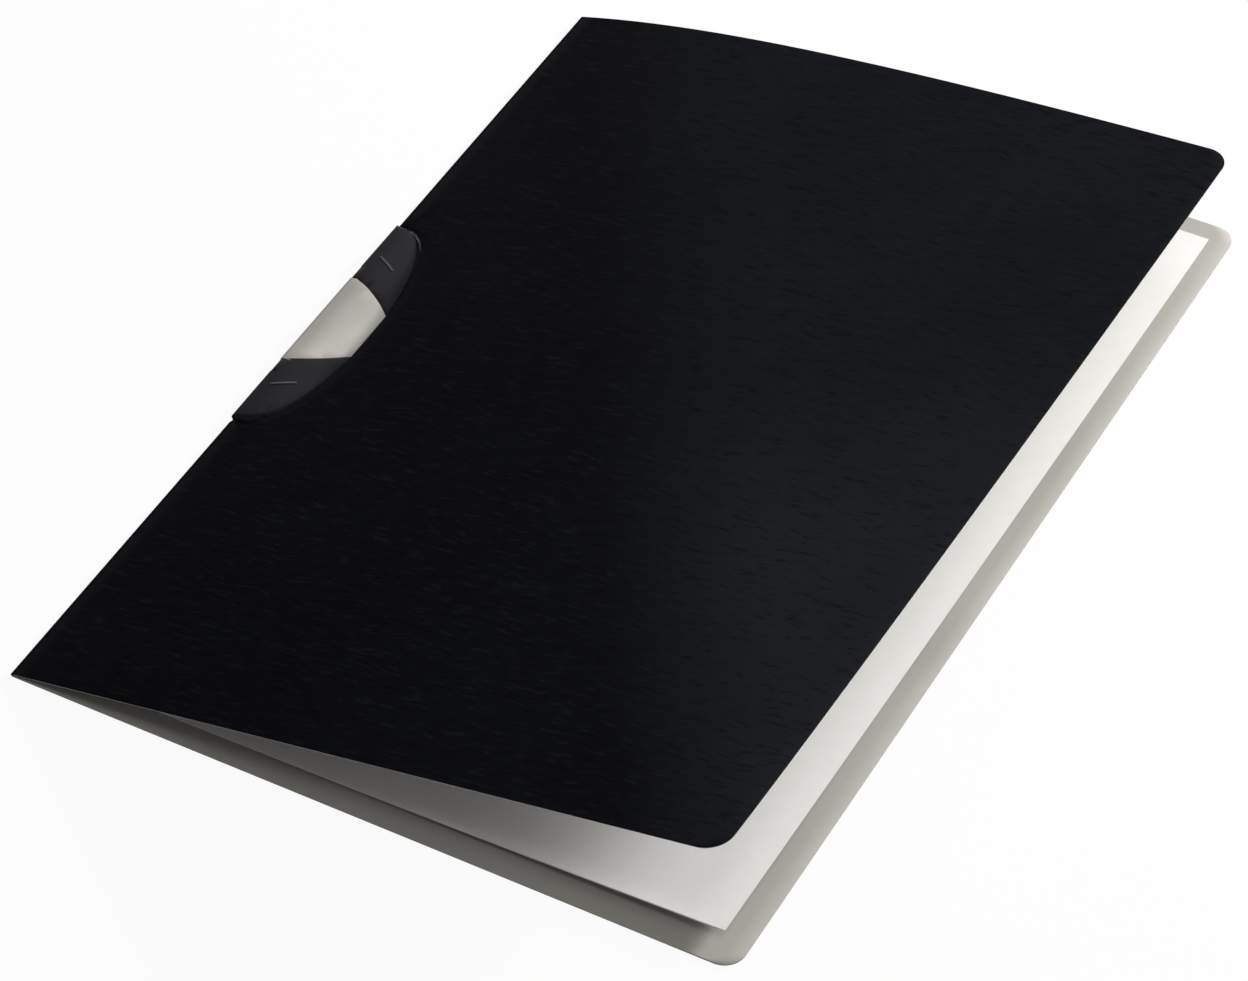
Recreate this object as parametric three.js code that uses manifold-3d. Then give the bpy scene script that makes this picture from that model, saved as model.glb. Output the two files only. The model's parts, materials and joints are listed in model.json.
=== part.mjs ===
// Clip folder for A4 sheets: one folded plastic cover, a hinged clip at the fold
// and a thin stack of sheets. Millimetres, +Z up. The folder lies on its back
// cover with the fold along Y, and the origin is under the middle of that cover.

import * as THREE from 'three';
import { mergeVertices } from 'three/addons/utils/BufferGeometryUtils.js';
import Module from 'manifold-3d';

const wasm = await Module();
wasm.setup();

// Cover: one sheet of polypropylene, folded once along its left side.
const COVER_WIDTH = 220;
const COVER_HEIGHT = 310;
const COVER_THICKNESS = 0.5;
const FOLD_INSIDE_RADIUS = 0.15;
const BACK_CORNER_RADIUS = 6;
const FRONT_CORNER_RADIUS = 7;
const FRONT_EDGE_SKEW = 1.4;
const HINGE_CLEARANCE = 0.2;

// Rise of the front cover, in degrees: even at the near end, while the far end
// leaves the fold steeply and flattens out towards its free edge.
const NEAR_ANGLE = 11.3;
const FAR_FOLD_ANGLE = 16.8;
const FAR_EDGE_ANGLE = 2.9;
const FLATTENING_LENGTH = 75;
const WARP_EXPONENT = 0.8;

// Window cut through the fold, a half moon in each cover. An ellipse has fullness 2,
// and a larger number makes the ends fuller.
const WINDOW_LENGTH = 92.4;
const WINDOW_DEPTH = 20.9;
const WINDOW_FULLNESS = 2.3;

// Sheets: a thin stack, whose near right corner lifts.
const SHEET_WIDTH = 210;
const SHEET_HEIGHT = 297;
const STACK_THICKNESS = 0.3;
const STACK_CLEARANCE = 0.1;
const STACK_SIDE_CLEARANCE = 0.4;
const CORNER_LIFT = 4.6;
const LIFT_ACROSS_EXPONENT = 2.1;
const LIFT_ALONG_EXPONENT = 1.3;
const STACK_RAMP = 24;

// Clip base: fills the window in the back cover and holds the hinge.
const BASE_CLEARANCE = 0.3;
const FLANGE_THICKNESS = 0.3;
const FLANGE_MARGIN = 2.5;
const KNUCKLE_RADIUS = 1.1;
const KNUCKLE_LENGTH = 5;
const KNUCKLE_CLEARANCE = 0.3;
const KNUCKLE_ROUND_CLEARANCE = 0.2;
const HOOD_BACK_REACH = 1.2;

// Hinge of the clip, a steel pin along the fold.
const BARREL_RADIUS = 1.6;
const BARREL_CLEARANCE = 0.3;
const PIN_RADIUS = 0.5;
const PIN_CLEARANCE = 0.2;
const PIN_END_INSET = 6;

// Clip jaw: a half-moon wing with a sloping shoulder and a gripping rim under it.
const JAW_CLEARANCE = 1.5;
const JAW_EDGE_HEIGHT = 3.2;
const JAW_PLATE_THICKNESS = 1.5;
const JAW_SHOULDER = 1.2;
const JAW_SHOULDER_HEIGHT = 2;
const JAW_RIM_WIDTH = 2.4;
const GRIP_CLEARANCE = 0.15;
const RIB_WIDTH = 0.7;
const RIB_HEIGHT = 0.2;
const RIB_LENGTH = 7.5;
const RIB_OFFSET = 28;
const RIB_FOLD_DISTANCE = 6.8;
const RIB_ANGLE = 29;

// Cap: a metal-coloured centre piece let into the jaw, with the middle barrel.
const CAP_FOLD_LENGTH = 38;
const CAP_EDGE_LENGTH = 19;
const CAP_BULGE = 2.2;
const CAP_PROUD = 0.15;
const CAP_DEPTH = 0.6;
const CAP_CLEARANCE = 0.15;
const CAP_EDGE_INSET = 0.2;

// Mesh fineness.
const CORNER_STEPS = 6;
const WINDOW_STEPS = 22;
const ROW_SPACING = 20;
const COVER_COLUMNS = 14;
const SHEET_COLUMNS = 16;
const SHEET_ROWS = 24;
const BEND_STEP = 4;
const BARREL_SIDES = 24;
const CUT_MARGIN = 2;

// Places that follow from the sizes above.
const foldRadius = FOLD_INSIDE_RADIUS + COVER_THICKNESS;
const windowCentre = COVER_HEIGHT / 2;
const hingeX = BARREL_RADIUS + CAP_PROUD;
const hingeZ = COVER_THICKNESS + BARREL_CLEARANCE + BARREL_RADIUS;
const barrelTop = hingeZ + BARREL_RADIUS;
const barrelFront = hingeX + BARREL_RADIUS;
const flangeTop = COVER_THICKNESS + FLANGE_THICKNESS;
const stackLeft = barrelFront + STACK_SIDE_CLEARANCE;
const stackNear = (COVER_HEIGHT - SHEET_HEIGHT) / 2;
const gripHeight = flangeTop + STACK_CLEARANCE + STACK_THICKNESS + GRIP_CLEARANCE;
const jawHalfLength = WINDOW_LENGTH / 2 - JAW_CLEARANCE;
const jawDepth = WINDOW_DEPTH - JAW_CLEARANCE;
const jawTopDepth = jawDepth - JAW_SHOULDER;
const knuckleStart = CAP_FOLD_LENGTH / 2 + KNUCKLE_CLEARANCE;
const knuckleEnd = knuckleStart + KNUCKLE_LENGTH;
const slotFront = barrelFront + KNUCKLE_CLEARANCE;

const radians = THREE.MathUtils.degToRad;

function solidFrom(geometry) {
  const bare = geometry.clone();
  bare.deleteAttribute('normal');
  bare.deleteAttribute('uv');
  const merged = mergeVertices(bare);
  return new wasm.Manifold(new wasm.Mesh({
    numProp: 3,
    vertProperties: new Float32Array(merged.getAttribute('position').array),
    triVerts: new Uint32Array(merged.getIndex().array),
  }));
}

function geometryFrom(solid) {
  const mesh = solid.getMesh();
  const geometry = new THREE.BufferGeometry();
  geometry.setAttribute('position', new THREE.BufferAttribute(mesh.vertProperties, 3));
  geometry.setIndex(new THREE.BufferAttribute(mesh.triVerts, 1));
  geometry.computeVertexNormals();
  return geometry;
}

// A column that stands on z = bottom, from an outline seen from above.
function column(outline, bottom, top) {
  const geometry = new THREE.ExtrudeGeometry(outline, {
    depth: top - bottom,
    bevelEnabled: false,
    curveSegments: WINDOW_STEPS,
  });
  geometry.translate(0, 0, bottom);
  return solidFrom(geometry);
}

// A bar along Y, from a section drawn with Z upwards.
function bar(section, yStart, yEnd) {
  const geometry = new THREE.ExtrudeGeometry(section, {
    depth: yEnd - yStart,
    bevelEnabled: false,
    curveSegments: BARREL_SIDES / 2,
  });
  geometry.rotateX(Math.PI / 2);
  geometry.translate(0, yEnd, 0);
  return solidFrom(geometry);
}

function polygon(points) {
  return new THREE.Shape(points.map(([a, b]) => new THREE.Vector2(a, b)));
}

function block(xStart, xEnd, yStart, yEnd, zStart, zEnd) {
  const geometry = new THREE.BoxGeometry(xEnd - xStart, yEnd - yStart, zEnd - zStart);
  geometry.translate((xStart + xEnd) / 2, (yStart + yEnd) / 2, (zStart + zEnd) / 2);
  return solidFrom(geometry);
}

function rodAtHinge(radius, yStart, yEnd) {
  const geometry = new THREE.CylinderGeometry(radius, radius, yEnd - yStart, BARREL_SIDES);
  geometry.translate(hingeX, (yStart + yEnd) / 2, hingeZ);
  return solidFrom(geometry);
}

// Points of a half moon on the fold line, pointing into the covers.
function halfMoonPoints(halfLength, depth) {
  const points = [];
  for (let i = 0; i <= WINDOW_STEPS; i += 1) {
    const turn = (i / WINDOW_STEPS - 0.5) * Math.PI;
    const out = Math.max(0, Math.cos(turn)) ** (2 / WINDOW_FULLNESS);
    const along = Math.sign(turn) * Math.abs(Math.sin(turn)) ** (2 / WINDOW_FULLNESS);
    points.push([depth * out, windowCentre + halfLength * along]);
  }
  return points;
}

function halfMoon(halfLength, depth) {
  return polygon(halfMoonPoints(halfLength, depth));
}

// Distance from the fold's outside to the window's edge at a height on the cover.
function windowReach(y) {
  const share = Math.abs(y - windowCentre) / (WINDOW_LENGTH / 2);
  return WINDOW_DEPTH * Math.max(0, 1 - share ** WINDOW_FULLNESS) ** (1 / WINDOW_FULLNESS);
}

// Heights at which a cover needs a row of points: its round corners, the window's
// curve, and even steps between them.
function coverRows(cornerRadius) {
  const rows = [];
  for (let i = 0; i <= CORNER_STEPS; i += 1) {
    const inset = cornerRadius * (1 - Math.cos((i / CORNER_STEPS) * (Math.PI / 2)));
    rows.push(inset, COVER_HEIGHT - inset);
  }
  for (let i = 0; i <= WINDOW_STEPS; i += 1) {
    rows.push(windowCentre - (WINDOW_LENGTH / 2) * Math.cos((i / WINDOW_STEPS) * Math.PI));
  }
  const plain = windowCentre - WINDOW_LENGTH / 2 - cornerRadius;
  const count = Math.round(plain / ROW_SPACING);
  for (let i = 1; i < count; i += 1) {
    const y = cornerRadius + (i / count) * plain;
    rows.push(y, COVER_HEIGHT - y);
  }
  return rows.sort((a, b) => a - b);
}

function cornerReach(y, cornerRadius) {
  const inside = Math.max(0, cornerRadius - Math.min(y, COVER_HEIGHT - y));
  return COVER_WIDTH - cornerRadius + Math.sqrt(cornerRadius ** 2 - inside ** 2);
}

function coverAngle(y, distance) {
  const warp = (y / COVER_HEIGHT) ** WARP_EXPONENT;
  const atFold = THREE.MathUtils.lerp(NEAR_ANGLE, FAR_FOLD_ANGLE, warp);
  const atEdge = THREE.MathUtils.lerp(NEAR_ANGLE, FAR_EDGE_ANGLE, warp);
  return radians(atEdge + (atFold - atEdge) * Math.exp(-distance / FLATTENING_LENGTH));
}

// Point of the front cover, a distance from the hinge axis and a height above
// the cover's inner face.
function frontPoint(distance, y, height) {
  const steps = Math.ceil(distance / BEND_STEP);
  const step = distance / steps;
  const point = new THREE.Vector3(foldRadius, y, foldRadius);
  for (let i = 0; i < steps; i += 1) {
    const angle = coverAngle(y, (i + 0.5) * step);
    point.x += step * Math.cos(angle);
    point.z += step * Math.sin(angle);
  }
  const endAngle = coverAngle(y, distance);
  point.x -= (FOLD_INSIDE_RADIUS + height) * Math.sin(endAngle);
  point.z += (FOLD_INSIDE_RADIUS + height) * Math.cos(endAngle);
  return point;
}

// A thin slab of columns and rows, each point of it put in place by a function.
function slab(columns, rows, place) {
  const geometry = new THREE.BoxGeometry(1, 1, 1, columns, rows, 1);
  const position = geometry.getAttribute('position');
  for (let i = 0; i < position.count; i += 1) {
    const across = position.getX(i) + 0.5;
    const row = Math.round((position.getY(i) + 0.5) * rows);
    const point = place(across, row, position.getZ(i) + 0.5);
    position.setXYZ(i, point.x, point.y, point.z);
  }
  return geometryFrom(solidFrom(geometry));
}

function frontCover() {
  const rows = coverRows(FRONT_CORNER_RADIUS);
  return slab(COVER_COLUMNS, rows.length - 1, (across, row, upwards) => {
    const y = rows[row];
    const start = Math.max(foldRadius + HINGE_CLEARANCE, windowReach(y) - foldRadius);
    const skew = FRONT_EDGE_SKEW * (1 - (2 * y) / COVER_HEIGHT);
    const end = cornerReach(y, FRONT_CORNER_RADIUS) - foldRadius + skew;
    const distance = THREE.MathUtils.lerp(start, end, across);
    return frontPoint(distance, y, upwards * COVER_THICKNESS);
  });
}

// Half ring that carries the cover round the fold, up to the hinge gap.
function foldSection() {
  const section = new THREE.Shape();
  section.moveTo(foldRadius, 0);
  section.absarc(foldRadius, foldRadius, foldRadius, -Math.PI / 2, Math.PI / 2, true);
  section.lineTo(foldRadius, foldRadius + FOLD_INSIDE_RADIUS);
  section.absarc(foldRadius, foldRadius, FOLD_INSIDE_RADIUS, Math.PI / 2, -Math.PI / 2, false);
  section.closePath();
  return section;
}

function backCover() {
  const outline = new THREE.Shape();
  outline.moveTo(foldRadius, 0);
  outline.lineTo(COVER_WIDTH - BACK_CORNER_RADIUS, 0);
  outline.absarc(
    COVER_WIDTH - BACK_CORNER_RADIUS, BACK_CORNER_RADIUS, BACK_CORNER_RADIUS,
    -Math.PI / 2, 0, false,
  );
  outline.lineTo(COVER_WIDTH, COVER_HEIGHT - BACK_CORNER_RADIUS);
  outline.absarc(
    COVER_WIDTH - BACK_CORNER_RADIUS, COVER_HEIGHT - BACK_CORNER_RADIUS, BACK_CORNER_RADIUS,
    0, Math.PI / 2, false,
  );
  outline.lineTo(foldRadius, COVER_HEIGHT);
  outline.closePath();
  const leaf = column(outline, 0, COVER_THICKNESS);
  const fold = bar(foldSection(), 0, COVER_HEIGHT);
  const windowStart = windowCentre - WINDOW_LENGTH / 2;
  const windowEnd = windowCentre + WINDOW_LENGTH / 2;
  const windowOutline = polygon([
    [-CUT_MARGIN, windowStart],
    [2 * foldRadius, windowStart],
    ...halfMoonPoints(WINDOW_LENGTH / 2, WINDOW_DEPTH).slice(1, -1),
    [2 * foldRadius, windowEnd],
    [-CUT_MARGIN, windowEnd],
  ]);
  const window = column(windowOutline, -CUT_MARGIN, 2 * CUT_MARGIN);
  return geometryFrom(leaf.add(fold).subtract(window));
}

function smoothFall(value, start, length) {
  return 1 - THREE.MathUtils.smoothstep(value, start, start + length);
}

// Underside of the stack: on the back cover, up a step over the clip base, and
// lifted at the near right corner.
function stackUnderside(x, y) {
  const across = (x - stackLeft) / SHEET_WIDTH;
  const along = (y - stackNear) / SHEET_HEIGHT;
  const lift = CORNER_LIFT * across ** LIFT_ACROSS_EXPONENT
    * (1 - along) ** LIFT_ALONG_EXPONENT;
  const overBase = smoothFall(x, WINDOW_DEPTH + FLANGE_MARGIN, STACK_RAMP)
    * smoothFall(Math.abs(y - windowCentre), WINDOW_LENGTH / 2 + FLANGE_MARGIN, STACK_RAMP);
  return COVER_THICKNESS + STACK_CLEARANCE + lift + FLANGE_THICKNESS * overBase;
}

function sheetStack() {
  return slab(SHEET_COLUMNS, SHEET_ROWS, (across, row, upwards) => {
    const x = stackLeft + across * SHEET_WIDTH;
    const y = stackNear + (row / SHEET_ROWS) * SHEET_HEIGHT;
    return new THREE.Vector3(x, y, stackUnderside(x, y) + upwards * STACK_THICKNESS);
  });
}

// The same feature on both sides of the window's centre.
function onBothSides(make) {
  return make(1).add(make(-1));
}

function sideBlock(side, xStart, xEnd, from, to, zStart, zEnd) {
  const yStart = windowCentre + side * (side > 0 ? from : to);
  const yEnd = windowCentre + side * (side > 0 ? to : from);
  return block(xStart, xEnd, yStart, yEnd, zStart, zEnd);
}

function sideRod(side, radius, from, to) {
  const yStart = windowCentre + side * (side > 0 ? from : to);
  const yEnd = windowCentre + side * (side > 0 ? to : from);
  return rodAtHinge(radius, yStart, yEnd);
}

// The foot stands in front of the pin, so that the hood can pass behind it.
function knuckle(side) {
  const foot = sideBlock(
    side, hingeX, barrelFront, knuckleStart, knuckleEnd,
    COVER_THICKNESS / 2, hingeZ - KNUCKLE_CLEARANCE,
  );
  return sideRod(side, KNUCKLE_RADIUS, knuckleStart, knuckleEnd).add(foot);
}

// Room for a knuckle in the jaw. What stays above it is a thin hood.
function knuckleRoom(side) {
  const from = CAP_FOLD_LENGTH / 2;
  const to = knuckleEnd + KNUCKLE_CLEARANCE;
  const round = sideRod(side, KNUCKLE_RADIUS + KNUCKLE_ROUND_CLEARANCE, from, to);
  const below = sideBlock(side, -CUT_MARGIN, slotFront, from, to, 0, hingeZ);
  const behind = sideBlock(
    side, -CUT_MARGIN, hingeX - HOOD_BACK_REACH, from, to, 0, barrelTop + CUT_MARGIN,
  );
  return round.add(below).add(behind);
}

function clipBase() {
  const fill = column(
    halfMoon(WINDOW_LENGTH / 2 - BASE_CLEARANCE, WINDOW_DEPTH - BASE_CLEARANCE),
    0, COVER_THICKNESS,
  );
  const flange = column(
    halfMoon(WINDOW_LENGTH / 2 + FLANGE_MARGIN, WINDOW_DEPTH + FLANGE_MARGIN),
    COVER_THICKNESS, flangeTop,
  );
  const barrelRoom = block(
    -CUT_MARGIN, slotFront,
    windowCentre - WINDOW_LENGTH, windowCentre + WINDOW_LENGTH,
    COVER_THICKNESS, flangeTop + CUT_MARGIN,
  );
  const bore = rodAtHinge(
    PIN_RADIUS + PIN_CLEARANCE, windowCentre - WINDOW_LENGTH, windowCentre + WINDOW_LENGTH,
  );
  const knuckles = onBothSides(knuckle).subtract(bore);
  return geometryFrom(fill.add(flange.subtract(barrelRoom)).add(knuckles));
}

// Height of the jaw's upper face above a place between the hinge and its edge.
function jawTop(x) {
  const share = (x - hingeX) / (jawTopDepth - hingeX);
  return THREE.MathUtils.lerp(barrelTop, JAW_EDGE_HEIGHT, share);
}

// Layer that follows the jaw's upper face between two offsets from it.
function layerUnderTop(lower, upper, xStart, xEnd, halfLength) {
  const section = polygon([
    [xStart, jawTop(xStart) + lower],
    [xEnd, jawTop(xEnd) + lower],
    [xEnd, jawTop(xEnd) + upper],
    [xStart, jawTop(xStart) + upper],
  ]);
  return bar(section, windowCentre - halfLength, windowCentre + halfLength);
}

function capOutline(grow) {
  const foldHalf = CAP_FOLD_LENGTH / 2 + grow;
  const edgeHalf = CAP_EDGE_LENGTH / 2 + grow;
  const reach = jawTopDepth - CAP_EDGE_INSET;
  const bulge = (foldHalf + edgeHalf) / 2 + CAP_BULGE;
  const outline = new THREE.Shape();
  outline.moveTo(hingeX, windowCentre - foldHalf);
  outline.quadraticCurveTo(
    (hingeX + reach) / 2, windowCentre - bulge, reach + grow, windowCentre - edgeHalf,
  );
  outline.lineTo(reach + grow, windowCentre + edgeHalf);
  outline.quadraticCurveTo(
    (hingeX + reach) / 2, windowCentre + bulge, hingeX, windowCentre + foldHalf,
  );
  outline.closePath();
  return outline;
}

function rib(side) {
  const geometry = new THREE.BoxGeometry(RIB_LENGTH, RIB_WIDTH, 2 * RIB_HEIGHT);
  geometry.rotateY(Math.atan2(barrelTop - JAW_EDGE_HEIGHT, jawTopDepth - hingeX));
  geometry.rotateZ(-side * radians(RIB_ANGLE));
  geometry.translate(
    RIB_FOLD_DISTANCE, windowCentre + side * RIB_OFFSET, jawTop(RIB_FOLD_DISTANCE),
  );
  return solidFrom(geometry);
}

// Space that the jaw fills: full below its shoulder, and narrower towards its top.
function jawSpace() {
  const topHalfLength = jawHalfLength - JAW_SHOULDER;
  const foot = halfMoonPoints(jawHalfLength, jawDepth);
  const head = halfMoonPoints(topHalfLength, jawTopDepth);
  return wasm.Manifold.hull([
    ...foot.map(([x, y]) => [x, y, 0]),
    ...foot.map(([x, y]) => [x, y, JAW_SHOULDER_HEIGHT]),
    ...head.map(([x, y]) => [x, y, jawTop(x)]),
    ...head.map(([x, y]) => [Math.min(x, hingeX), y, barrelTop]),
  ]);
}

function clipJaw() {
  const wing = bar(
    polygon([
      [hingeX, barrelTop],
      [hingeX, hingeZ],
      [barrelFront, gripHeight],
      [jawDepth, gripHeight],
      [jawDepth, jawTop(jawDepth)],
    ]),
    windowCentre - jawHalfLength, windowCentre + jawHalfLength,
  );
  const barrel = rodAtHinge(
    BARREL_RADIUS, windowCentre - jawHalfLength, windowCentre + jawHalfLength,
  );
  const relief = column(
    halfMoon(jawHalfLength - JAW_RIM_WIDTH, jawDepth - JAW_RIM_WIDTH), 0, barrelTop,
  ).intersect(layerUnderTop(
    -barrelTop, -JAW_PLATE_THICKNESS, slotFront + JAW_RIM_WIDTH, jawDepth, jawHalfLength,
  ));
  const capHalf = CAP_FOLD_LENGTH / 2 + CAP_CLEARANCE;
  const middle = block(
    -CUT_MARGIN, slotFront, windowCentre - capHalf, windowCentre + capHalf,
    0, barrelTop + CUT_MARGIN,
  );
  const pocket = column(capOutline(CAP_CLEARANCE), 0, barrelTop + CUT_MARGIN)
    .intersect(layerUnderTop(
      -CAP_DEPTH - CAP_CLEARANCE, CUT_MARGIN, 0, jawDepth + CUT_MARGIN, jawHalfLength,
    ));
  const bore = rodAtHinge(
    PIN_RADIUS + PIN_CLEARANCE,
    windowCentre - jawHalfLength + PIN_END_INSET - PIN_CLEARANCE,
    windowCentre + jawHalfLength - PIN_END_INSET + PIN_CLEARANCE,
  );
  const jaw = wing.add(barrel).intersect(jawSpace())
    .add(onBothSides(rib))
    .subtract(relief)
    .subtract(middle)
    .subtract(onBothSides(knuckleRoom))
    .subtract(pocket)
    .subtract(bore);
  return geometryFrom(jaw);
}

function clipCap() {
  const halfLength = CAP_FOLD_LENGTH / 2;
  const plate = column(capOutline(0), 0, barrelTop + CUT_MARGIN)
    .intersect(layerUnderTop(-CAP_DEPTH, CAP_PROUD, hingeX, jawDepth, halfLength));
  const barrel = rodAtHinge(
    BARREL_RADIUS + CAP_PROUD, windowCentre - halfLength, windowCentre + halfLength,
  );
  const bore = rodAtHinge(
    PIN_RADIUS + PIN_CLEARANCE,
    windowCentre - halfLength - CUT_MARGIN, windowCentre + halfLength + CUT_MARGIN,
  );
  return geometryFrom(plate.add(barrel).subtract(bore));
}

function hingePin() {
  const reach = jawHalfLength - PIN_END_INSET;
  return geometryFrom(rodAtHinge(PIN_RADIUS, windowCentre - reach, windowCentre + reach));
}

const materials = {
  coverOutside: new THREE.MeshStandardMaterial({ color: 0x15161a, roughness: 0.42, metalness: 0 }),
  coverInside: new THREE.MeshStandardMaterial({ color: 0xb9b7ae, roughness: 0.5, metalness: 0 }),
  paper: new THREE.MeshStandardMaterial({ color: 0xf4f4f2, roughness: 0.85, metalness: 0 }),
  darkPlastic: new THREE.MeshStandardMaterial({ color: 0x2a292d, roughness: 0.35, metalness: 0 }),
  silver: new THREE.MeshStandardMaterial({ color: 0xc6c3bc, roughness: 0.35, metalness: 0.8 }),
  steel: new THREE.MeshStandardMaterial({ color: 0xa7a9ab, roughness: 0.3, metalness: 1 }),
};

const folder = new THREE.Group();
folder.position.set(-COVER_WIDTH / 2, -COVER_HEIGHT / 2, 0);

function addPiece(name, geometry, material) {
  const mesh = new THREE.Mesh(geometry, material);
  mesh.name = name;
  folder.add(mesh);
}

addPiece('back_cover', backCover(), materials.coverInside);
addPiece('front_cover', frontCover(), materials.coverOutside);
addPiece('sheets', sheetStack(), materials.paper);
addPiece('clip_base', clipBase(), materials.darkPlastic);
addPiece('clip_jaw', clipJaw(), materials.darkPlastic);
addPiece('clip_cap', clipCap(), materials.silver);
addPiece('hinge_pin', hingePin(), materials.steel);

export default folder;
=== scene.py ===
# %% [markdown]
# # A clip folder, dressed for its portrait
# This lesson takes the engineer's solids of a plastic clip folder and gives them the look of the real
# thing: a thin folded cover, black and finely brushed outside and warm grey inside, a few sheets of
# paper, and a dark moulded clip with a silver centre that shows through a half-moon window at the
# fold. The solids are loaded first and stay where they are. Everything made below is fitted to them.

# %% Load the solids as a fixed frame
import json
import math

import bmesh
import bpy
import numpy as np
from mathutils import Matrix, Vector


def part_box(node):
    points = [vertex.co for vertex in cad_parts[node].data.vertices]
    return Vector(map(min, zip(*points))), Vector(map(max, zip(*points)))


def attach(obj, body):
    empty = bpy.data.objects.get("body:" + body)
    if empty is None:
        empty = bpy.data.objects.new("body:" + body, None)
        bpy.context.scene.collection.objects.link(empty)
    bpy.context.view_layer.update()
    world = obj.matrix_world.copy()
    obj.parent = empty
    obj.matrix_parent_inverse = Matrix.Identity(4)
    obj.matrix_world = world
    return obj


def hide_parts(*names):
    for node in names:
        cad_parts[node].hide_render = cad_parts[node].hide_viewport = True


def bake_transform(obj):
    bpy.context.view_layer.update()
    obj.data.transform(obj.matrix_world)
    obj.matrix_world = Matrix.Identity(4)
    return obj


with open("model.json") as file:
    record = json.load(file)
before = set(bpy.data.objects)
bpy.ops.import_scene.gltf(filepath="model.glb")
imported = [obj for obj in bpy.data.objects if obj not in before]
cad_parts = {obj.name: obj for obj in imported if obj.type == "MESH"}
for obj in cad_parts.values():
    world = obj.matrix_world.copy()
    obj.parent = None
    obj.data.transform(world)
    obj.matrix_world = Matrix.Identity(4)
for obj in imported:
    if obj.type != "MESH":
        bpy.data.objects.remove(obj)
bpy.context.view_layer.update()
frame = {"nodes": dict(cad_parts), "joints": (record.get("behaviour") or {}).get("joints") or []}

# %% [markdown]
# ## Sizes shared by all pieces
# Blender works in metres, and a folder is a thing of tenths of a millimetre, so sizes are written as
# so many `MM`. What can be read from the frame is read from it: the covers' outline from their boxes,
# and the two hinge lines from the joints. Only what the eye adds, such as how a cut edge is rounded,
# is written here.

# %% Sizes
MM = 0.001
TINY = 1e-6

back_low, back_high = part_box("back_cover")
COVER_HEIGHT = back_high.y - back_low.y
COVER_REACH = back_high.x
FOLD_LINE = back_low.x
COVER_THICKNESS = 0.5 * MM
CUT_EDGE_ROUNDING = 0.09 * MM

hinge_places = {joint["name"]: Vector(joint["pos_m"]) for joint in frame["joints"]}
COVER_HINGE = hinge_places["cover_hinge"]
CLIP_HINGE = hinge_places["clip_hinge"]
FOLD_RADIUS = COVER_HINGE.x - FOLD_LINE
FOLD_INSIDE_RADIUS = FOLD_RADIUS - COVER_THICKNESS
print("cover", round((COVER_REACH - FOLD_LINE) / MM, 2), "x", round(COVER_HEIGHT / MM, 2), "mm,",
      "fold radius", round(FOLD_RADIUS / MM, 3), "mm")

# %% [markdown]
# ## The camera
# A product portrait is taken from far away with a long lens, which keeps a sheet's edges nearly
# parallel. The camera is placed by its position, by the point of the table that it looks at, and by a
# small roll, because the horizon of the photograph isn't quite level. Its angle decides what every
# later choice is judged by, so it comes first.

# %% Camera
CAMERA_PLACE = Vector((471.3, -791.8, 902.2)) * MM
CAMERA_AIM = Vector((2.1, -18.6, 0.0)) * MM
CAMERA_ROLL = math.radians(-2.93)
CAMERA_LENS = 133.05
SENSOR_WIDTH = 36.0
CLIP_START, CLIP_END = 0.05, 20.0


def add_object(name, data):
    thing = bpy.data.objects.new(name, data)
    bpy.context.scene.collection.objects.link(thing)
    return thing


def make_camera():
    data = bpy.data.cameras.new("portrait_camera")
    data.lens = CAMERA_LENS
    data.sensor_width = SENSOR_WIDTH
    data.clip_start = CLIP_START
    data.clip_end = CLIP_END
    camera = add_object("portrait_camera", data)
    sight = CAMERA_AIM - CAMERA_PLACE
    camera.rotation_mode = "QUATERNION"
    level = sight.to_track_quat("-Z", "Y")
    camera.rotation_quaternion = level @ Matrix.Rotation(CAMERA_ROLL, 3, "Z").to_quaternion()
    camera.location = CAMERA_PLACE
    bpy.context.scene.camera = camera


make_camera()
print("camera", round((CAMERA_AIM - CAMERA_PLACE).length, 3), "m from the table point it looks at")

# %% [markdown]
# ## Building nodes with plain arithmetic
# A rule such as "the cover leaves the fold steeply and flattens out" is a formula. In a node tree a
# formula becomes dozens of Math nodes, which are tedious to place one by one. The small class below
# stands for one number in a tree. Adding or multiplying two of them lays down the Math node and links
# it, so that a formula in the script reads like one in a book.

# %% Helpers for node trees
def add_node(tree, kind, **settings):
    node = tree.nodes.new(kind)
    for name, value in settings.items():
        setattr(node, name, value)
    return node


def feed(tree, socket, value):
    if isinstance(value, bpy.types.NodeSocket):
        tree.links.new(value, socket)
    elif isinstance(value, Quantity):
        tree.links.new(value.socket, socket)
    else:
        socket.default_value = value


class Quantity:
    """One number of a node tree, on which arithmetic lays down Math nodes."""

    def __init__(self, tree, socket):
        self.tree = tree
        self.socket = socket

    def math(self, operation, *others):
        node = add_node(self.tree, "ShaderNodeMath", operation=operation)
        for socket, value in zip(node.inputs, (self, *others)):
            feed(self.tree, socket, value)
        return Quantity(self.tree, node.outputs[0])

    def __add__(self, other):
        return self.math("ADD", other)

    def __sub__(self, other):
        return self.math("SUBTRACT", other)

    def __mul__(self, other):
        return self.math("MULTIPLY", other)

    def __truediv__(self, other):
        return self.math("DIVIDE", other)

    def __pow__(self, other):
        return self.math("POWER", other)

    def blend_to(self, other, share):
        return self + (other - self) * share


# %% [markdown]
# ## The room
# The folder lies on a plain white table in soft light. The backdrop's white is made by colour, not by
# light: for rays that come from the camera, or by way of a mirror, the sky shader is plain white,
# while all other rays meet a dimmer sky, so that the lamps keep shaping the object. The floor does
# the same in part: it is mostly a white that nothing changes, mixed with a real diffuse floor, which
# keeps a faint shadow. The lighting sky is dimmer on the fold's side, as in a studio with a window on
# one side only, so that the inside of the folder falls into shade towards the fold.

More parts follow.
